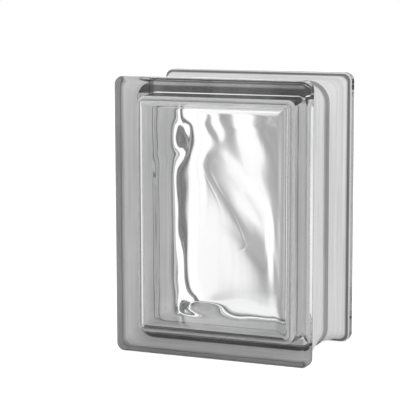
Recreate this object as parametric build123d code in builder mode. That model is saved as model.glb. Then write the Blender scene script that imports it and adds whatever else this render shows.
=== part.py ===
"""Glass block: two pressed glass halves fused at a seam, with a sealed hollow between wavy inner faces.

Millimetres. X is the width, Y runs from the front face to the back face, Z is up.
The origin is on the floor, under the middle of the block, and the seam lies in the plane Y = 0.
"""

import os
from math import atan, cos, degrees, exp, radians, sin

from build123d import *

# Overall size of the block
block_width = 146.05
block_height = 196.85
block_depth = 98.43

# Flange: the rim around each face, which stands proud of the side walls
flange_thickness = 10.5
flange_corner = 6.0
flange_face_round = 3.5
flange_back_round = 2.0

# Side wall from flange to seam: it leans inwards, so that mortar keys behind the flange
wall_step_at_flange = 3.0
wall_step_at_seam = 6.0
wall_corner_at_flange = 5.0
wall_corner_at_seam = 13.0

# Bead: the rounded ridge of fused glass along the seam, half of it on each half
bead_height = 2.6
bead_half_width = 3.2
bead_round = 1.8

# Hollow: it opens towards the seam, so that the plunger could leave the glass
face_glass = 6.5
seam_glass = 7.0
hollow_lean = 1.3
hollow_corner_at_seam = 13.5
hollow_floor_round = 11.0

# Waves pressed into the inner side of each face: long soft ridges, and valleys where the height is
# below nothing. Each row gives a ridge's middle across and up, the turn of its line in degrees, how far
# it runs and spreads to each side, its height, and how much its line bends, as seen from the face.
front_ridges = [
    (-9.7, 63.0, -80, 30.0, 8.4, -0.55, -0.10),
    (-22.2, 34.1, -91, 64.5, 8.3, 0.58, 0.00),
    (17.9, -53.7, -76, 20.8, 8.5, 0.19, 0.00),
    (-19.9, -56.6, -62, 35.0, 8.5, 0.42, -1.07),
    (1.7, -51.9, 5, 26.0, 8.2, -0.96, -0.15),
    (34.5, -1.5, -59, 57.3, 10.3, 2.10, 0.24),
    (6.3, 52.0, 25, 41.0, 9.4, -1.21, -0.12),
]
back_ridges = [
    (0.7, 58.1, 67, 40.2, 8.3, -1.84, -0.03),
    (36.7, 54.9, 98, 47.8, 9.6, -1.90, 0.07),
    (-14.4, 5.3, 54, 32.7, 8.2, -0.68, 0.00),
    (17.0, 61.3, 77, 34.2, 8.0, 1.74, -0.01),
    (-24.2, 13.8, 92, 91.1, 13.6, 3.10, -0.05),
]
wave_fade = 8.0
wave_points_across = 21
wave_points_up = 31
plain_rim = 0.6
waves_depth = 4.0

half_depth = block_depth / 2
middle_height = block_height / 2
flange_back = half_depth - flange_thickness
floor_level = half_depth - face_glass
hollow_step_at_seam = wall_step_at_seam + seam_glass
hollow_step_at_floor = hollow_step_at_seam + hollow_lean
waves_inset = hollow_step_at_floor + hollow_floor_round + plain_rim
waves_half_width = block_width / 2 - waves_inset
waves_half_height = block_height / 2 - waves_inset

# Seam planes: each one's normal points at the face of its half
front_seam = Plane((0, 0, middle_height), x_dir=(1, 0, 0), z_dir=(0, -1, 0))
back_seam = Plane((0, 0, middle_height), x_dir=(-1, 0, 0), z_dir=(0, 1, 0))


def outline(step, corner):
    """Rounded rectangle of the block's outline, drawn in by step on every side."""
    return RectangleRounded(block_width - 2 * step, block_height - 2 * step, corner)


def ridge(x, z, middle_x, middle_z, turn, run, spread, height, bend):
    """Height of one ridge: a bell across its line and a wider bell along it, on a line that bends."""
    along_x = cos(radians(turn))
    along_z = sin(radians(turn))
    along = (x - middle_x) * along_x + (z - middle_z) * along_z
    across = (z - middle_z) * along_x - (x - middle_x) * along_z + bend * along * along / 100
    return height * exp(-((across / spread) ** 2) - (along / run) ** 2)


def ease(share):
    """Smooth step from 0 to 1."""
    share = min(max(share, 0), 1)
    return share * share * (3 - 2 * share)


def wave(x, z, ridges):
    """Height of the waves over the flat rim of the inner face, at x across and z up from its middle."""
    rim = ease((waves_half_width - abs(x)) / wave_fade) * ease((waves_half_height - abs(z)) / wave_fade)
    return rim * sum(ridge(x, z, *row) for row in ridges)


def wavy_face(seam, ridges):
    """Spline surface through the waves, which ends level with the flat rim on all four sides."""
    rows = []
    for i in range(wave_points_across):
        x = waves_half_width * (2 * i / (wave_points_across - 1) - 1)
        row = []
        for j in range(wave_points_up):
            z = waves_half_height * (2 * j / (wave_points_up - 1) - 1)
            row.append(seam.from_local_coords(Vector(x, z, floor_level - wave(x, z, ridges))))
        rows.append(row)
    return Face.make_surface_from_array_of_points(rows, tol=0.001)


def hollow(seam):
    """The inside of one half before its waves: leaning walls, and a wide round at the floor's edge."""
    with BuildPart() as space:
        with BuildSketch(seam):
            outline(hollow_step_at_seam, hollow_corner_at_seam)
        extrude(amount=floor_level, taper=degrees(atan(hollow_lean / floor_level)))
        floor = space.faces().sort_by(Axis(seam.origin, seam.z_dir))[-1]
        fillet(floor.edges(), hollow_floor_round)
    return space.part


def waves_middle():
    """Rectangle of the waves, inside the flat rim of the floor."""
    return Rectangle(2 * waves_half_width, 2 * waves_half_height)


def wavy_space(seam, ridges):
    """The space over the waves, from below their highest ridge to the wavy face itself."""
    with BuildPart() as space:
        with BuildSketch(seam.offset(floor_level - waves_depth)):
            waves_middle()
        extrude(amount=2 * waves_depth)
        split(bisect_by=wavy_face(seam, ridges), keep=Keep.BOTTOM)
    return space.part


def pressed_half(seam, ridges):
    """One pressed half, open at the plane of the seam and closed by its wavy face at the far end."""
    depth = Axis(seam.origin, seam.z_dir)
    with BuildPart() as half:
        # Flange
        with BuildSketch(seam.offset(flange_back)):
            outline(0, flange_corner)
        extrude(amount=flange_thickness)
        fillet(half.faces().sort_by(depth)[0].edges(), flange_back_round)
        fillet(half.faces().sort_by(depth)[-1].edges(), flange_face_round)

        # Bead
        with BuildSketch(seam):
            outline(wall_step_at_seam - bead_height, wall_corner_at_seam + bead_height)
        bead = extrude(amount=bead_half_width)
        fillet(bead.faces().sort_by(depth)[-1].edges(), bead_round)

        # Side wall
        with BuildSketch(seam):
            outline(wall_step_at_seam, wall_corner_at_seam)
        with BuildSketch(seam.offset(flange_back)):
            outline(wall_step_at_flange, wall_corner_at_flange)
        loft()

        # Hollow
        add(hollow(seam), mode=Mode.SUBTRACT)

        # Waves: the middle of the floor is filled up with glass, then cut back down to the waves
        with BuildSketch(seam.offset(floor_level - waves_depth)):
            waves_middle()
        extrude(amount=waves_depth)
        add(wavy_space(seam, ridges), mode=Mode.SUBTRACT)
    return half


os.makedirs("parts", exist_ok=True)

front_shell = pressed_half(front_seam, front_ridges)
front_shell.part.label = "front_shell"
export_step(front_shell.part, "parts/front_shell.step")

back_shell = pressed_half(back_seam, back_ridges)
back_shell.part.label = "back_shell"
export_step(back_shell.part, "parts/back_shell.step")
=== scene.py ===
"""Glass block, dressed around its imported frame: one fused glass body with a sealed, wavy hollow.

Every object is in metres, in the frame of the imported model: X across, Y from front to back, Z up.
"""

import math

import bpy
import numpy as np
from mathutils import Matrix, Vector


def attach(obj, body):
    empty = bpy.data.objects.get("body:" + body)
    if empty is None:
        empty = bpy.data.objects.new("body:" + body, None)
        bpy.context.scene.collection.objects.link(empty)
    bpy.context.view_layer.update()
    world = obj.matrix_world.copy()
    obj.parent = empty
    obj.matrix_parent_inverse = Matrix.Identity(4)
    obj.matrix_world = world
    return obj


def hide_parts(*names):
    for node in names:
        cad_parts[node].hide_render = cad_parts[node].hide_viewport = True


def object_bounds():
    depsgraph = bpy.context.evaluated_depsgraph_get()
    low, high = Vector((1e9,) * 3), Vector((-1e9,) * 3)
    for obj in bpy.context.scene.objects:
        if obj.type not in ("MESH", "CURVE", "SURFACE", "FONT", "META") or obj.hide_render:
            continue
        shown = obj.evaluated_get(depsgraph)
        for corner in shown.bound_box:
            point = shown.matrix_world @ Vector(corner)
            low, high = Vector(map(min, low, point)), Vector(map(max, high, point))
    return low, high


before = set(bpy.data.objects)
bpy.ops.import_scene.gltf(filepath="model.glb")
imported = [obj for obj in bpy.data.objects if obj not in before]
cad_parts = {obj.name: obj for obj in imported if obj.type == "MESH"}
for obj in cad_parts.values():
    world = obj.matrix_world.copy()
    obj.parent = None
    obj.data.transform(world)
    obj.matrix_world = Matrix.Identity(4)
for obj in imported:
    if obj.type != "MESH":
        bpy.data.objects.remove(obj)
cad_low, cad_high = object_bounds()

MM = 0.001
width, depth, height = (cad_high - cad_low) / MM
half_width, half_depth, half_height = width / 2, depth / 2, height / 2

# Flange, side wall and bead, in millimetres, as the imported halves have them
flange_thickness = 10.5
flange_corner = 6.0
flange_face_round = 3.5
flange_back_round = 2.0
wall_step_at_flange = 3.0
wall_step_at_seam = 6.0
wall_corner_at_flange = 5.0
wall_corner_at_seam = 13.0
bead_height = 2.6
bead_half_width = 3.2
bead_round = 1.8

# Softened feet of the wall and the bead, in millimetres, which only the scene has
wall_foot_roll = 1.0
bead_root_round = 0.5

# Hollow, in millimetres
face_glass = 6.5
seam_glass = 7.0
hollow_lean = 1.3
hollow_floor_round = 11.0
plain_rim = 0.6
floor_level = half_depth - face_glass
hollow_step_at_seam = wall_step_at_seam + seam_glass

# Upright corners of the hollow, in millimetres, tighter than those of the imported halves
hollow_corner_at_seam = 7.0
hollow_corner_least = 1.0
hollow_corner_ease = 0.7

# Ridges and valleys on the inner sides of the faces, in millimetres and degrees. Each row gives a ridge's
# middle across and up, turn, run, spread, height and bend, as seen from its own face.
front_ridges = (
    (-9.7, 63.0, -80, 30.0, 8.4, -0.55, -0.10),
    (-22.2, 34.1, -91, 64.5, 8.3, 0.58, 0.00),
    (17.9, -53.7, -76, 20.8, 8.5, 0.19, 0.00),
    (-19.9, -56.6, -62, 35.0, 8.5, 0.42, -1.07),
    (1.7, -51.9, 5, 26.0, 8.2, -0.96, -0.15),
    (34.5, -1.5, -59, 57.3, 10.3, 2.10, 0.24),
    (6.3, 52.0, 25, 41.0, 9.4, -1.21, -0.12),
)
back_ridges = (
    (0.7, 58.1, 67, 40.2, 8.3, -1.84, -0.03),
    (36.7, 54.9, 98, 47.8, 9.6, -1.90, 0.07),
    (-14.4, 5.3, 54, 32.7, 8.2, -0.68, 0.00),
    (17.0, 61.3, 77, 34.2, 8.0, 1.74, -0.01),
    (-24.2, 13.8, 92, 91.1, 13.6, 3.10, -0.05),
)

# Finer flow lines of the pressed glass over them, in the same terms
front_lines = (
    (-42.0, 5.0, -88, 55.0, 1.3, 0.16, 0.10),
    (-33.0, 45.0, 12, 8.0, 3.5, 0.30, 0.60),
    (-4.0, -57.5, 3, 10.5, 5.5, -1.10, 0.30),
)
back_lines = (
    (9.8, -11.7, 67, 17.0, 1.0, 0.28, 0.50),
    (8.0, -33.0, -35, 6.0, 1.0, 0.26, -2.50),
    (34.0, 12.0, 58, 13.0, 0.9, 0.22, 0.90),
    (25.0, 13.0, 50, 14.0, 1.0, 0.24, -0.70),
    (30.0, 20.0, 35, 7.0, 0.9, 0.22, 3.00),
    (25.0, 63.0, 0, 9.0, 0.9, 0.28, 6.00),
    (-11.0, 62.0, 45, 18.0, 1.1, 0.28, 1.00),
    (35.0, 60.0, 72, 12.0, 4.0, 1.80, 0.60),
    (-4.0, -34.0, 42, 22.0, 7.0, 1.20, 0.40),
    (7.4, -4.0, 55, 34.0, 7.0, 1.50, 0.00),
)
wave_fade = 8.0
waves_inset = hollow_step_at_seam + hollow_lean + hollow_floor_round + plain_rim
waves_half_width = half_width - waves_inset
waves_half_height = half_height - waves_inset

# Ring of the fused joint, in millimetres: its thickness, and how far it stays from the bead's crest and
# reaches past the hollow's wall
joint_thickness = 0.1
joint_margin = 0.3

# How far the coat runs past the flange's back round, in millimetres
coat_over_round = 1.6

# Cells of the surface grids, the width in millimetres of the flat cells beside each round, and the
# distance in millimetres that stands for none
outer_cells = {"around": 16, "across": 24, "up": 32}
hollow_cells = {"around": 12, "across": 112, "up": 156}
round_cells = 14
foot_cells = 7
hollow_round_cells = 18
wall_cells = 8
flat_margin = 0.35
no_distance = 1e-9

# Span of raw noise that the shared noise stretches to 0..1
usual_noise = (0.3, 0.7)

# Clear glass: its colour where clearest and where most tinted, its refraction, the most that its chill marks
# roughen it, how strongly and how deep, in metres, its flow marks bend the surface, and each noise's scale
glass_clear = (1, 1, 1, 1)
glass_tint = (0.965, 0.972, 0.968, 1)
glass_refraction = 1.52
tint_scale = (14, 14, 14)
chill_scale = (170, 170, 120)
chill_roughness = 0.008
flow_scale = (85, 85, 11)
flow_strength = 0.1
flow_depth = 0.0002

# Edge coat: its colour, the share of it kept in each darker place, and the light that it lets through
coat_colour = (0.93, 0.935, 0.93, 1)
coat_on_bead = 0.42
coat_on_joint_line = 0.35
# Painted shade: the share of the coat kept in the crease at the flange's root, from outside and from inside
painted_shade_at_root = 0.32
painted_shade_at_root_inside = 0.45
coat_translucency = 0.42
coat_roughness = 0.55

# Where the coat's tone changes, as (start, end) depths from the seam in millimetres
bead_edge = (2.8, 3.6)
joint_line_start = (3.0, 3.6)
joint_line_end = (4.4, 5.2)
# Spans of the painted shade towards the flange's root, from inside and from outside
root_shade_inside = (30.0, 39.5)
root_shade_outside = (35.5, 38.2)
flange_back_edge = (38.8, 39.4)

# Streaks round the block and clouds in the coat: scale along each axis, and the coat's least and most share
streak_scale = (9, 260, 9)
streak_range = (0.9, 1.04)
cloud_scale = (22, 30, 14)
cloud_range = (0.93, 1.03)

# Film of the fused joint: its colour, its cover at the block's sides and in the lighter and darker parts of
# its top and bottom, and its noise
film_colour = (0.04, 0.04, 0.04, 1)
film_at_sides = 0.06
film_light = 0.45
film_dark = 0.74
film_light_at_bottom = 0.315
film_scale = (28, 28, 28)
film_range = (0.9, 1.08)
film_roughness = 0.6

# Where the film's cover changes, as (start, end) heights above or below the block's middle in millimetres
film_start = (84.0, 85.3)
film_change_at_top = (89.8, 91.2)
film_change_at_bottom = (89.8, 91.0)

# Light of the room through the glass and in its gloss, as (degrees, level) rows: by turn to the left of
# straight ahead, and by rise above the floor. White panels stand to the left and right of straight ahead,
# with a grey gap between them and dark gaps beside them.
light_by_turn = (
    (-180, 0.85), (-170, 0.62), (-150, 0.5), (-128, 0.75), (-110, 0.6), (-95, 0.9), (-80, 0.06), (-64, 1.1),
    (-42, 1.1), (-32, 0.45), (-20, 0.25), (-10, 0.3), (-2, 0.65), (4, 0.52), (12, 0.36), (17, 0.48),
    (20.3, 0.76), (22.3, 1.06), (30, 1.2), (58, 1.15), (66, 0.2), (80, 0.06), (90, 0.8), (105, 0.9),
    (120, 0.6), (150, 0.5), (170, 0.65), (180, 0.85),
)
light_by_rise = (
    (-90, 0.03), (-63, 0.06), (-55, 0.4), (-48, 0.85), (-35, 0.93), (-13, 0.97), (0, 1.0), (45, 1.0),
    (70, 0.8), (90, 0.7),
)
brightest = 1.25
light_on_matt = 1.08

# Floor: its half size in metres, the grey that takes shade and the glow that lifts it to white to the
# camera, and the grey that it is to other rays
floor_reach = 6.0
floor_shade = (0.3, 0.3, 0.3, 1)
floor_glow = 0.88
floor_grey = (0.8, 0.8, 0.8, 1)

# Lamps: place in metres and power in watts, each a square of the same size aimed at the block's middle
lamp_size = 0.7
lamp_aim = (0, 0, 0.1)
key_place, key_power = (1.1, 0.3, 0.6), 2.5
fill_place, fill_power = (-0.9, 0.3, 1.0), 1.4

# Camera: focal length and frame in pixels of the photograph, sensor in millimetres, turns in degrees, and
# the block's middle as millimetres right of, above and ahead of the camera
focal_px = 1624.0
frame_px = 400.0
sensor_width = 36.0
camera_yaw, camera_pitch, camera_roll = 23.46, 8.23, -0.176
middle_right, middle_up, middle_ahead = 25.8, -8.0, 1166.0

# Most bounces of light, in all and through glass, and in gloss
most_bounces = 32
most_gloss_bounces = 16


# Surfaces


def rounded_ring(step, corner, around, across, up):
    """(x, z) rows of the outline drawn in by step: four quarter circles of radius corner, each cut into
    around cells, joined by straight sides cut into across or up cells. It starts at the lower right."""
    a, b = half_width - step - corner, half_height - step - corner
    turn = np.linspace(0, math.pi / 2, around + 1)
    centres = ((a, -b), (a, b), (-a, b), (-a, -b))
    arcs = [
        np.stack([x + corner * np.cos(turn + (q - 1) * math.pi / 2),
                  z + corner * np.sin(turn + (q - 1) * math.pi / 2)], 1)
        for q, (x, z) in enumerate(centres)
    ]
    parts = []
    for q, arc in enumerate(arcs):
        share = np.linspace(0, 1, (across if q % 2 else up) + 1)[1:-1, None]
        parts += [arc, arc[-1] + (arcs[(q + 1) % 4][0] - arc[-1]) * share]
    return np.concatenate(parts)


def quads(index, closed=True):
    """Rows of four vertex numbers for the cells of a grid of vertex numbers, its columns joined up if
    closed."""
    if closed:
        index = np.concatenate([index, index[:, :1]], 1)
    return np.stack([index[:-1, :-1], index[1:, :-1], index[1:, 1:], index[:-1, 1:]], -1).reshape(-1, 4)


def fan(middle, ring):
    """Rows of three vertex numbers that close a ring round its middle vertex."""
    return np.stack([np.full(len(ring), middle), ring, np.roll(ring, -1)], 1)


def profile_arc(centre, radius, turns, cells=round_cells):
    """Depths and steps along a circle of the profile, over a pair of turns in degrees: the depth is the
    centre's plus the radius times the sine, and the step is the centre's less the radius times the cosine."""
    turn = np.radians(np.linspace(*turns, cells + 1))
    return centre[0] + radius * np.sin(turn), centre[1] - radius * np.cos(turn)


def profile_rows(y, step, corner):
    """Rows of depth, step and corner radius. A single number fills its column."""
    return np.column_stack(np.broadcast_arrays(np.atleast_1d(y), step, corner))


def wall_step(y):
    """Step of the leaning side wall at a depth y from the seam, on a straight line from seam to flange."""
    share = y / (half_depth - flange_thickness)
    return wall_step_at_seam + (wall_step_at_flange - wall_step_at_seam) * share


def wall_corner(y):
    """Corner radius of the side wall at a depth y from the seam, on a straight line from seam to flange."""
    share = y / (half_depth - flange_thickness)
    return wall_corner_at_seam + (wall_corner_at_flange - wall_corner_at_seam) * share


def flange_profile():
    """Profile of the flange from the edge of the flat face: a quarter round, the straight edge and a second
    quarter round, with flat cells beside the rounds. The corner radius falls as the step grows."""
    back = half_depth - flange_thickness
    face = profile_arc((half_depth - flange_face_round, flange_face_round), flange_face_round, (90, 0))
    rear = profile_arc((back + flange_back_round, flange_back_round), flange_back_round, (0, -90))
    y = np.concatenate([
        [half_depth], face[0],
        [half_depth - flange_face_round - flat_margin, back + flange_back_round + flat_margin], rear[0],
    ])
    step = np.concatenate([[flange_face_round + flat_margin], face[1], [0, 0], rear[1]])
    return profile_rows(y, step, flange_corner - step)


def wall_profile():
    """Profile of the side wall from the flange to the foot of the bead: a low quarter-round roll against the
    flange, then a straight lean."""
    back = half_depth - flange_thickness
    roll_end = back - wall_foot_roll
    roll_y, roll_step = profile_arc((roll_end, wall_step_at_flange), wall_foot_roll, (90, 0), foot_cells)
    roll_step = roll_step + (wall_step_at_seam - wall_step_at_flange) / back * (back - roll_y)
    wall_y = np.linspace(roll_end, bead_half_width + bead_root_round, wall_cells + 1)[1:]
    y = np.concatenate([roll_y, wall_y])
    return profile_rows(y, np.concatenate([roll_step, wall_step(wall_y)]), wall_corner(y))


def bead_profile():
    """Profile of half the bead, from its foot on the wall to the seam: a small hollow round, a quarter round
    up to the crest, and the flat crest. The corner radius grows from the wall's to the crest's."""
    foot = bead_half_width + bead_root_round
    foot_step, foot_corner = wall_step(foot), wall_corner(foot)
    crest = wall_step_at_seam - bead_height
    crest_corner = wall_corner_at_seam + bead_height
    root_centre = (foot, foot_step - bead_root_round)
    root_y, root_step = profile_arc(root_centre, bead_root_round, (180, 270), foot_cells)
    risen = (foot_step - root_step) / bead_root_round
    root_corner = foot_corner + (crest_corner - bead_round - foot_corner) * risen
    bead_centre = (bead_half_width - bead_round, crest + bead_round)
    bead_y, bead_step = profile_arc(bead_centre, bead_round, (90, 0))
    return np.concatenate([
        profile_rows(root_y, root_step, root_corner)[1:],
        profile_rows(bead_y, bead_step, crest_corner + crest - bead_step),
        profile_rows(0.0, crest, crest_corner),
    ])


def outer_surface():
    """Points, vertex grid and profile rows of the outside: each row of the profile carried round the
    outline, from the front face to the seam and on to the back face."""
    half = np.concatenate([flange_profile(), wall_profile(), bead_profile()])
    rows = np.concatenate([half, half[:-1][::-1] * (-1, 1, 1)])
    rings = []
    for y, step, corner in rows:
        x, z = rounded_ring(step, corner, **outer_cells).T
        rings.append(np.column_stack([x, np.full(len(x), -y), z]))
    points = np.concatenate(rings)
    return points, np.arange(len(points)).reshape(len(rows), -1), rows


def ease(share):
    """Smooth step from 0 to 1."""
    share = np.clip(share, 0, 1)
    return share * share * (3 - 2 * share)


def wave(x, z, ridges):
    """Height of the glass over the flat rim of the inner face: the sum of ridges, faded out at the rim. A
    ridge is a bell across its line times a wider bell along it, on a line that bends as a parabola, by bend
    hundredths of the square of the way along it."""
    rim = ease((waves_half_width - np.abs(x)) / wave_fade) * ease((waves_half_height - np.abs(z)) / wave_fade)
    total = np.zeros_like(x)
    for middle_x, middle_z, turn, run, spread, top, bend in ridges:
        c, s = math.cos(math.radians(turn)), math.sin(math.radians(turn))
        along = (x - middle_x) * c + (z - middle_z) * s
        across = (z - middle_z) * c - (x - middle_x) * s + bend * along**2 / 100
        total = total + top * np.exp(-((across / spread) ** 2) - (along / run) ** 2)
    return rim * total


def floor_lines(half, corner, around, cells):
    """Grid lines over one direction of the floor: even ones between the corner circles' centres, and beyond
    them the tangents of even turns."""
    tangent = corner * np.tan(np.linspace(0, math.pi / 4, around // 2 + 1))
    inner = half - corner
    middle = np.linspace(-inner, inner, cells + 1)[1:-1]
    return np.concatenate([-(inner + tangent)[::-1], middle, inner + tangent])


def floor_grid(step, corner, around, across, up):
    """(x, z) grid over the outline drawn in by step. Each corner square is pulled in onto its quarter circle:
    a point keeps its direction from the circle's centre, at the distance of its longer side."""
    a, b = half_width - step, half_height - step
    lines = floor_lines(a, corner, around, across), floor_lines(b, corner, around, up)
    x, z = np.meshgrid(*lines, indexing="ij")
    past_x, past_z = np.abs(x) - (a - corner), np.abs(z) - (b - corner)
    in_corner = (past_x > 0) & (past_z > 0)
    pull = np.maximum(past_x, past_z) / np.maximum(np.hypot(past_x, past_z), no_distance)
    x = np.where(in_corner, np.sign(x) * (a - corner + past_x * pull), x)
    z = np.where(in_corner, np.sign(z) * (b - corner + past_z * pull), z)
    return x, z


def rim_of(index, around, across, up):
    """Vertex numbers round the edge of a floor grid, in the order of rounded_ring."""
    start = around // 2 + across
    bottom, right = index[start:, 0], index[-1, 1:]
    top, left = index[:-1, -1][::-1], index[0, :-1][::-1]
    return np.concatenate([bottom, right, top, left, index[1:start, 0]])


def hollow_rows():
    """Profile of one half of the hollow, from the flat rim of its floor to the seam, as rows of depth from
    the seam and step in from the outline: a quarter round that touches the floor and the leaning wall,
    then the wall."""
    lean = hollow_lean / floor_level
    tilt = math.atan(lean)
    y_middle = floor_level - hollow_floor_round
    step_middle = hollow_step_at_seam + lean * y_middle + hollow_floor_round / math.cos(tilt)
    turn = np.linspace(math.pi / 2, tilt, hollow_round_cells + 1)
    y, step = y_middle + hollow_floor_round * np.sin(turn), step_middle - hollow_floor_round * np.cos(turn)
    wall_y = np.linspace(y[-1] - flat_margin, 0, wall_cells + 1)
    floor_edge = [[floor_level, step[0] + flat_margin]]
    wall = np.column_stack([wall_y, hollow_step_at_seam + lean * wall_y])
    return np.concatenate([floor_edge, np.column_stack([y, step]), wall])


def hollow_corner(step):
    """Corner radius of the hollow's ring at a step: it falls by as much as the step grows, and eases out
    towards a small last radius, so that the wide rounds of two walls meet in a soft mitre."""
    over = hollow_corner_at_seam - (step - hollow_step_at_seam) - hollow_corner_least
    return hollow_corner_least + np.log1p(np.exp(over / hollow_corner_ease)) * hollow_corner_ease


def hollow_half(mirror, ridges):
    """Points of one half of the hollow: the wavy floor as a grid, and rings from its rim along the wide
    round and the leaning wall to the seam. The nearer a ring is to the floor, the smaller are its corners."""
    rows = hollow_rows()
    edge_step = rows[0, 1]
    x, z = floor_grid(edge_step, hollow_corner(edge_step), **hollow_cells)
    grid = np.stack([x, floor_level - wave(x, z, ridges), z], -1)
    rings = []
    for y, step in rows[1:]:
        x, z = rounded_ring(step, hollow_corner(step), **hollow_cells).T
        rings.append(np.column_stack([x, np.full(len(x), y), z]))
    return grid * mirror, np.array(rings) * mirror


def hollow_surface():
    """Points and quads of the whole hollow, its normals pointing into it. The back's ridges are given as
    seen from behind, so their x and their turn run the other way."""
    front_grid, front_rings = hollow_half(np.array([1, -1, 1]), front_ridges + front_lines)
    turned = [(-x, z, -turn, *rest) for x, z, turn, *rest in back_ridges + back_lines]
    back_grid, back_rings = hollow_half(np.array([1, 1, 1]), turned)
    rings = np.concatenate([front_rings, back_rings[:-1][::-1]])
    grid_size = front_grid[..., 0].size
    front_index = np.arange(grid_size).reshape(front_grid.shape[:2])
    ring_index = grid_size + np.arange(rings[..., 0].size).reshape(rings.shape[:2])
    back_index = grid_size + ring_index.size + front_index
    front_rim, back_rim = rim_of(front_index, **hollow_cells), rim_of(back_index, **hollow_cells)
    walls = np.concatenate([front_rim[None], ring_index, back_rim[None]])
    points = np.concatenate([front_grid.reshape(-1, 3), rings.reshape(-1, 3), back_grid.reshape(-1, 3)])
    faces = [quads(front_index, False)[:, ::-1], quads(back_index, False), quads(walls)[:, ::-1]]
    return points, np.concatenate(faces)


def new_piece(name, points, faces, materials):
    """Object of a new mesh, its points given in millimetres from the block's middle."""
    mesh = bpy.data.meshes.new(name)
    mesh.from_pydata(((points + (0, 0, half_height)) * MM).tolist(), [], faces)
    for material in materials:
        mesh.materials.append(material)
    mesh.update()
    piece = bpy.data.objects.new(name, mesh)
    bpy.context.scene.collection.objects.link(piece)
    return piece


def glass_body(clear, coated):
    """The fused glass: the outside and the hollow in one mesh. The coat is on the outside's cells between
    the two flanges' back rounds."""
    outside, index, rows = outer_surface()
    hollow, hollow_faces = hollow_surface()
    sides = quads(index)
    middles = np.array([[0, -half_depth, 0], [0, half_depth, 0]])
    first_middle = len(outside) + len(hollow)
    caps = np.concatenate([fan(first_middle, index[0]), fan(first_middle + 1, index[-1][::-1])])
    faces = sides.tolist() + (hollow_faces + len(outside)).tolist() + caps.tolist()
    body = new_piece("glass_body", np.concatenate([outside, hollow, middles]), faces, (clear, coated))
    cell_depth = np.abs(rows[:-1, 0] + rows[1:, 0]) / 2
    is_coated = cell_depth < half_depth - flange_thickness + coat_over_round
    chosen = np.zeros(len(faces), int)
    chosen[:len(sides)] = np.repeat(is_coated.astype(int), index.shape[1])
    body.data.polygons.foreach_set("material_index", chosen)
    body.data.polygons.foreach_set("use_smooth", np.ones(len(faces), bool))
    body.data.update()
    return body


def fused_joint(film):
    """The joint of the two halves inside the wall's glass: a thin flat ring from just outside the hollow to
    under the bead, carried round four edges of its section."""
    thick = joint_thickness / 2
    inner = (hollow_step_at_seam - joint_margin, hollow_corner_at_seam + joint_margin)
    outer = (wall_step_at_seam - bead_height + joint_margin, wall_corner_at_seam + bead_height - joint_margin)
    rings = []
    for (step, corner), y in ((inner, thick), (inner, -thick), (outer, -thick), (outer, thick)):
        x, z = rounded_ring(step, corner, **outer_cells).T
        rings.append(np.column_stack([x, np.full(len(x), y), z]))
    points = np.concatenate(rings)
    index = np.arange(len(points)).reshape(len(rings), -1)
    faces = quads(np.concatenate([index, index[:1]]))
    return new_piece("fused_joint", points, faces.tolist(), (film,))


# Shader nodes


def math_node(nodes, links, operation, first, second=None):
    """Math node fed by a socket and, where given, a second socket or a number. Returns its output."""
    node = nodes.new("ShaderNodeMath")
    node.operation = operation
    links.new(first, node.inputs[0])
    if isinstance(second, (int, float)):
        node.inputs[1].default_value = second
    elif second is not None:
        links.new(second, node.inputs[1])
    return node.outputs[0]


def smooth_change(nodes, links, value, span, before, after):
    """Smooth step of a value: before up to the start of a span, after from its end. Returns its output."""
    node = nodes.new("ShaderNodeMapRange")
    node.interpolation_type = "SMOOTHSTEP"
    for name, number in zip(("From Min", "From Max", "To Min", "To Max"), (*span, before, after)):
        node.inputs[name].default_value = number
    links.new(value, node.inputs["Value"])
    return node.outputs[0]


def change_over_mm(nodes, links, distance, span, before, after):
    """Smooth step over a span in millimetres of a distance in metres."""
    return smooth_change(nodes, links, distance, (span[0] * MM, span[1] * MM), before, after)


def object_place(nodes, links):
    """Place on the piece as one vector, and its three parts."""
    place = nodes.new("ShaderNodeTexCoord").outputs["Object"]
    parts = nodes.new("ShaderNodeSeparateXYZ")
    links.new(place, parts.inputs[0])
    return place, parts.outputs


def mixed_colour(nodes, links, share, first, second):
    """Colour between two, by a share."""
    mix = nodes.new("ShaderNodeMix")
    mix.data_type = "RGBA"
    mix.inputs["A"].default_value = first
    mix.inputs["B"].default_value = second
    links.new(share, mix.inputs["Factor"])
    return mix.outputs["Result"]


def new_material(name):
    """New material with its nodes and links."""
    material = bpy.data.materials.new(name)
    material.use_nodes = True
    return material, material.node_tree.nodes, material.node_tree.links


def noise_group():
    """Shared noise: fractal noise over a place stretched by a scale on each axis, brought to 0..1."""
    group = bpy.data.node_groups.new("stretched_noise", "ShaderNodeTree")
    for name, kind in (("Place", "Vector"), ("Scale", "Vector"), ("Detail", "Float")):
        group.interface.new_socket(name, in_out="INPUT", socket_type=f"NodeSocket{kind}")
    group.interface.new_socket("Value", in_out="OUTPUT", socket_type="NodeSocketFloat")
    nodes, links = group.nodes, group.links
    given, out = nodes.new("NodeGroupInput"), nodes.new("NodeGroupOutput")
    stretch = nodes.new("ShaderNodeMapping")
    links.new(given.outputs["Place"], stretch.inputs["Vector"])
    links.new(given.outputs["Scale"], stretch.inputs["Scale"])
    noise = nodes.new("ShaderNodeTexNoise")
    noise.inputs["Scale"].default_value = 1.0
    links.new(given.outputs["Detail"], noise.inputs["Detail"])
    links.new(stretch.outputs[0], noise.inputs["Vector"])
    even = smooth_change(nodes, links, noise.outputs[0], usual_noise, 0.0, 1.0)
    links.new(even, out.inputs["Value"])
    return group


def stretched_noise(nodes, links, place, scale, detail=2.0):
    """The shared noise with its scale and detail set. Returns its value."""
    node = nodes.new("ShaderNodeGroup")
    node.node_tree = shared_noise
    node.inputs["Scale"].default_value = scale
    node.inputs["Detail"].default_value = detail
    links.new(place, node.inputs["Place"])
    return node.outputs["Value"]


# Materials


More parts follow.
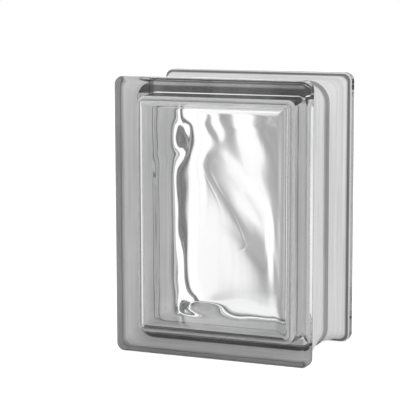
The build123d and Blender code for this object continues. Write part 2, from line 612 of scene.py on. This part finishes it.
def clear_glass():
    """Pressed glass, clear with a trace of tint. Flow marks from the pressing bend its surface a little, and
    chill marks dull its gloss a little."""
    material, nodes, links = new_material("clear_pressed_glass")
    shader = nodes["Principled BSDF"]
    place, _ = object_place(nodes, links)
    patches = stretched_noise(nodes, links, place, tint_scale)
    chill = stretched_noise(nodes, links, place, chill_scale, detail=3.0)
    roughness = smooth_change(nodes, links, chill, (0.0, 1.0), 0.0, chill_roughness)
    bump = nodes.new("ShaderNodeBump")
    bump.inputs["Strength"].default_value = flow_strength
    bump.inputs["Distance"].default_value = flow_depth
    links.new(stretched_noise(nodes, links, place, flow_scale), bump.inputs["Height"])
    tint = mixed_colour(nodes, links, patches, glass_clear, glass_tint)
    links.new(tint, shader.inputs["Base Color"])
    links.new(roughness, shader.inputs["Roughness"])
    links.new(bump.outputs[0], shader.inputs["Normal"])
    shader.inputs["Metallic"].default_value = 0.0
    shader.inputs["IOR"].default_value = glass_refraction
    shader.inputs["Transmission Weight"].default_value = 1.0
    return material


def by_side(nodes, links, outside, inside):
    """Value outside on the front of a face and inside on its back."""
    mix = nodes.new("ShaderNodeMix")
    geometry = nodes.new("ShaderNodeNewGeometry")
    links.new(geometry.outputs["Backfacing"], mix.inputs["Factor"])
    links.new(outside, mix.inputs["A"])
    links.new(inside, mix.inputs["B"])
    return mix.outputs["Result"]


def bead_tone(nodes, links, depth_from_seam):
    """Tone of the coat at the bead: dark all over the bead from outside, and from inside a thin dark line at
    its foot."""
    outside = change_over_mm(nodes, links, depth_from_seam, bead_edge, coat_on_bead, 1.0)
    before_line = change_over_mm(nodes, links, depth_from_seam, joint_line_start, 1.0, coat_on_joint_line)
    past_line = change_over_mm(nodes, links, depth_from_seam, joint_line_end, coat_on_joint_line, 1.0)
    return by_side(nodes, links, outside, math_node(nodes, links, "MAXIMUM", before_line, past_line))


def root_painted_shade(nodes, links, depth_from_seam):
    """Painted shade on the coat at the flange's root: dark in the root and pale again over the flange from
    outside, and slowly darker towards the flange from inside, as shade that the flange would cast."""
    painted_shade_in_root = change_over_mm(nodes, links, depth_from_seam, root_shade_outside, 1.0, painted_shade_at_root)
    on_flange = change_over_mm(nodes, links, depth_from_seam, flange_back_edge, 0.0, 1.0)
    outside = math_node(nodes, links, "MAXIMUM", painted_shade_in_root, on_flange)
    inside = change_over_mm(nodes, links, depth_from_seam, root_shade_inside, 1.0, painted_shade_at_root_inside)
    return by_side(nodes, links, outside, inside)


def coated_glass():
    """White edge coat: paler on the open walls and darker on the bead, with painted shade at the flange's
    root, faint streaks that run round the block and faint clouds. It lets some light through to the glass."""
    material, nodes, links = new_material("coated_edge_glass")
    shader = nodes["Principled BSDF"]
    place, parts = object_place(nodes, links)
    depth_from_seam = math_node(nodes, links, "ABSOLUTE", parts["Y"])
    streaks = stretched_noise(nodes, links, place, streak_scale)
    clouds = stretched_noise(nodes, links, place, cloud_scale, detail=4.0)
    # The root's darkening is painted shade, multiplied into the coat's tone
    level = math_node(nodes, links, "MULTIPLY", bead_tone(nodes, links, depth_from_seam),
                      root_painted_shade(nodes, links, depth_from_seam))
    for noise, limits in ((streaks, streak_range), (clouds, cloud_range)):
        share = smooth_change(nodes, links, noise, (0.0, 1.0), *limits)
        level = math_node(nodes, links, "MULTIPLY", level, share)
    tint = mixed_colour(nodes, links, level, (0, 0, 0, 1), coat_colour)
    links.new(tint, shader.inputs["Base Color"])
    shader.inputs["Metallic"].default_value = 0.0
    shader.inputs["Roughness"].default_value = coat_roughness
    shader.inputs["IOR"].default_value = glass_refraction
    shader.inputs["Transmission Weight"].default_value = 0.0
    passed_on = nodes.new("ShaderNodeBsdfTranslucent")
    links.new(tint, passed_on.inputs["Color"])
    mix = nodes.new("ShaderNodeMixShader")
    mix.inputs[0].default_value = coat_translucency
    links.new(shader.outputs[0], mix.inputs[1])
    links.new(passed_on.outputs[0], mix.inputs[2])
    links.new(mix.outputs[0], nodes["Material Output"].inputs["Surface"])
    return material


def film_at_end(nodes, links, distance, span, inner_cover, outer_cover):
    """Cover of the film at one end of the block, over the distance from its middle towards that end."""
    present = change_over_mm(nodes, links, distance, film_start, 0.0, 1.0)
    cover = change_over_mm(nodes, links, distance, span, inner_cover, outer_cover)
    return math_node(nodes, links, "MULTIPLY", cover, present)


def joint_film():
    """The fused joint inside the wall's glass: a thin grey film that dims what is seen through it, thick at
    the top and bottom of the block and thin at its sides."""
    material, nodes, links = new_material("fused_joint_film")
    shader = nodes["Principled BSDF"]
    place, parts = object_place(nodes, links)
    up = math_node(nodes, links, "SUBTRACT", parts["Z"], half_height * MM)
    down = math_node(nodes, links, "MULTIPLY", up, -1.0)
    top = film_at_end(nodes, links, up, film_change_at_top, film_dark, film_light)
    bottom = film_at_end(nodes, links, down, film_change_at_bottom, film_light_at_bottom, film_dark)
    cover = math_node(nodes, links, "MAXIMUM", top, bottom)
    cover = math_node(nodes, links, "MAXIMUM", cover, film_at_sides)
    noise = stretched_noise(nodes, links, place, film_scale, detail=3.0)
    uneven = smooth_change(nodes, links, noise, (0.0, 1.0), *film_range)
    links.new(math_node(nodes, links, "MULTIPLY", cover, uneven), shader.inputs["Alpha"])
    shader.inputs["Base Color"].default_value = film_colour
    shader.inputs["Roughness"].default_value = film_roughness
    return material


# Studio


def level_ramp(nodes, links, value, rows, span):
    """Level at a share of a circle or half circle, on straight lines through the (degrees, level) rows."""
    ramp = nodes.new("ShaderNodeValToRGB")
    stops = ramp.color_ramp.elements
    while len(stops) < len(rows):
        stops.new(0.5)
    for stop, (degrees, level) in zip(stops, rows):
        stop.position = degrees / span + 0.5
        level /= brightest
        stop.color = (level, level, level, 1)
    links.new(value, ramp.inputs["Fac"])
    return ramp.outputs["Color"]


def room_light(nodes, links, direction):
    """Light level in a direction: the level by turn times the level by rise."""
    unit = nodes.new("ShaderNodeVectorMath")
    unit.operation = "NORMALIZE"
    links.new(direction, unit.inputs[0])
    parts = nodes.new("ShaderNodeSeparateXYZ")
    links.new(unit.outputs[0], parts.inputs[0])
    left = math_node(nodes, links, "MULTIPLY", parts.outputs["X"], -1.0)
    turn = math_node(nodes, links, "ARCTAN2", left, parts.outputs["Y"])
    turn = math_node(nodes, links, "ADD", math_node(nodes, links, "DIVIDE", turn, 2 * math.pi), 0.5)
    rise = math_node(nodes, links, "ARCSINE", parts.outputs["Z"])
    rise = math_node(nodes, links, "ADD", math_node(nodes, links, "DIVIDE", rise, math.pi), 0.5)
    level = math_node(nodes, links, "MULTIPLY", level_ramp(nodes, links, turn, light_by_turn, 360),
                      level_ramp(nodes, links, rise, light_by_rise, 180))
    return math_node(nodes, links, "MULTIPLY", level, brightest**2)


def by_ray(nodes, links, seen, through, other):
    """Shader that is seen to the camera, through to glossy and transmission rays that no matt surface has
    turned, and other to the rest."""
    path = nodes.new("ShaderNodeLightPath")
    glossy, transmitted = path.outputs["Is Glossy Ray"], path.outputs["Is Transmission Ray"]
    glass = math_node(nodes, links, "MAXIMUM", glossy, transmitted)
    unturned = math_node(nodes, links, "LESS_THAN", path.outputs["Diffuse Depth"], 0.5)
    glass = math_node(nodes, links, "MULTIPLY", glass, unturned)
    inner, outer = nodes.new("ShaderNodeMixShader"), nodes.new("ShaderNodeMixShader")
    links.new(glass, inner.inputs[0])
    links.new(other, inner.inputs[1])
    links.new(through, inner.inputs[2])
    links.new(path.outputs["Is Camera Ray"], outer.inputs[0])
    links.new(inner.outputs[0], outer.inputs[1])
    links.new(seen, outer.inputs[2])
    return outer.outputs[0]


def plain_light(nodes, kind, strength):
    """Background or Emission node of plain white at a strength."""
    node = nodes.new(kind)
    node.inputs["Color"].default_value = (1, 1, 1, 1)
    node.inputs["Strength"].default_value = strength
    return node


def matt_paint(nodes, colour):
    """Matt shader of one colour. Returns its output."""
    node = nodes.new("ShaderNodeBsdfDiffuse")
    node.inputs["Color"].default_value = colour
    return node.outputs[0]


def studio_world():
    """White to the camera. Through the glass and in its gloss it is the room's white panels and dark gaps.
    It lights matt surfaces evenly."""
    world = bpy.data.worlds.new("studio")
    bpy.context.scene.world = world
    world.use_nodes = True
    nodes, links = world.node_tree.nodes, world.node_tree.links
    nodes.clear()
    out = nodes.new("ShaderNodeOutputWorld")
    direction = nodes.new("ShaderNodeTexCoord").outputs["Generated"]
    room = plain_light(nodes, "ShaderNodeBackground", 1.0)
    links.new(room_light(nodes, links, direction), room.inputs["Strength"])
    white = plain_light(nodes, "ShaderNodeBackground", 1.0)
    even = plain_light(nodes, "ShaderNodeBackground", light_on_matt)
    links.new(by_ray(nodes, links, white.outputs[0], room.outputs[0], even.outputs[0]), out.inputs[0])


def studio_floor():
    """Pale floor: white to the camera where nothing shades it. The glass shows the room's light instead."""
    mesh = bpy.data.meshes.new("floor")
    r = floor_reach
    mesh.from_pydata([(-r, -r, 0), (r, -r, 0), (r, r, 0), (-r, r, 0)], [], [(0, 1, 2, 3)])
    floor = bpy.data.objects.new("floor", mesh)
    bpy.context.scene.collection.objects.link(floor)
    floor.visible_glossy = False
    floor.visible_transmission = False
    material, nodes, links = new_material("pale_floor")
    nodes.clear()
    out = nodes.new("ShaderNodeOutputMaterial")
    seen = nodes.new("ShaderNodeAddShader")
    links.new(matt_paint(nodes, floor_shade), seen.inputs[0])
    links.new(plain_light(nodes, "ShaderNodeEmission", floor_glow).outputs[0], seen.inputs[1])
    matt = matt_paint(nodes, floor_grey)
    links.new(by_ray(nodes, links, seen.outputs[0], matt, matt), out.inputs[0])
    mesh.materials.append(material)


def soft_box(name, place, power):
    """Square area lamp at a place, aimed at the block. The glass doesn't show it."""
    lamp = bpy.data.lights.new(name, "AREA")
    lamp.shape = "SQUARE"
    lamp.size = lamp_size
    lamp.energy = power
    box = bpy.data.objects.new(name, lamp)
    box.location = place
    box.rotation_mode = "QUATERNION"
    box.rotation_quaternion = (Vector(lamp_aim) - Vector(place)).to_track_quat("-Z", "Y")
    bpy.context.scene.collection.objects.link(box)
    box.visible_glossy = False
    box.visible_transmission = False


def camera():
    """Camera at the photograph's viewing angle: turned left by the yaw, down by the pitch and about its own
    axis by the roll."""
    data = bpy.data.cameras.new("camera")
    viewer = bpy.data.objects.new("camera", data)
    bpy.context.scene.collection.objects.link(viewer)
    bpy.context.scene.camera = viewer
    data.sensor_width = sensor_width
    data.lens = sensor_width * focal_px / frame_px
    yaw, pitch, roll = (math.radians(turn) for turn in (camera_yaw, camera_pitch, camera_roll))
    ahead = np.array([-math.sin(yaw) * math.cos(pitch), math.cos(yaw) * math.cos(pitch), -math.sin(pitch)])
    level = np.array([math.cos(yaw), math.sin(yaw), 0])
    upright = np.cross(level, ahead)
    right = math.cos(roll) * level + math.sin(roll) * upright
    up = -math.sin(roll) * level + math.cos(roll) * upright
    place = -(right * middle_right + up * middle_up + ahead * middle_ahead) + (0, 0, half_height)
    turn = Matrix((right, up, -ahead)).transposed()
    viewer.matrix_world = Matrix.Translation(Vector(place * MM)) @ turn.to_4x4()


shared_noise = noise_group()

body = glass_body(clear_glass(), coated_glass())
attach(body, "root")
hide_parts("front_shell", "back_shell")

joint = fused_joint(joint_film())
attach(joint, "root")

studio_world()
studio_floor()
soft_box("key_light", key_place, key_power)
soft_box("fill_light", fill_place, fill_power)
camera()

scene = bpy.context.scene
scene.view_settings.view_transform = "Standard"
scene.cycles.max_bounces = most_bounces
scene.cycles.transmission_bounces = most_bounces
scene.cycles.glossy_bounces = most_gloss_bounces
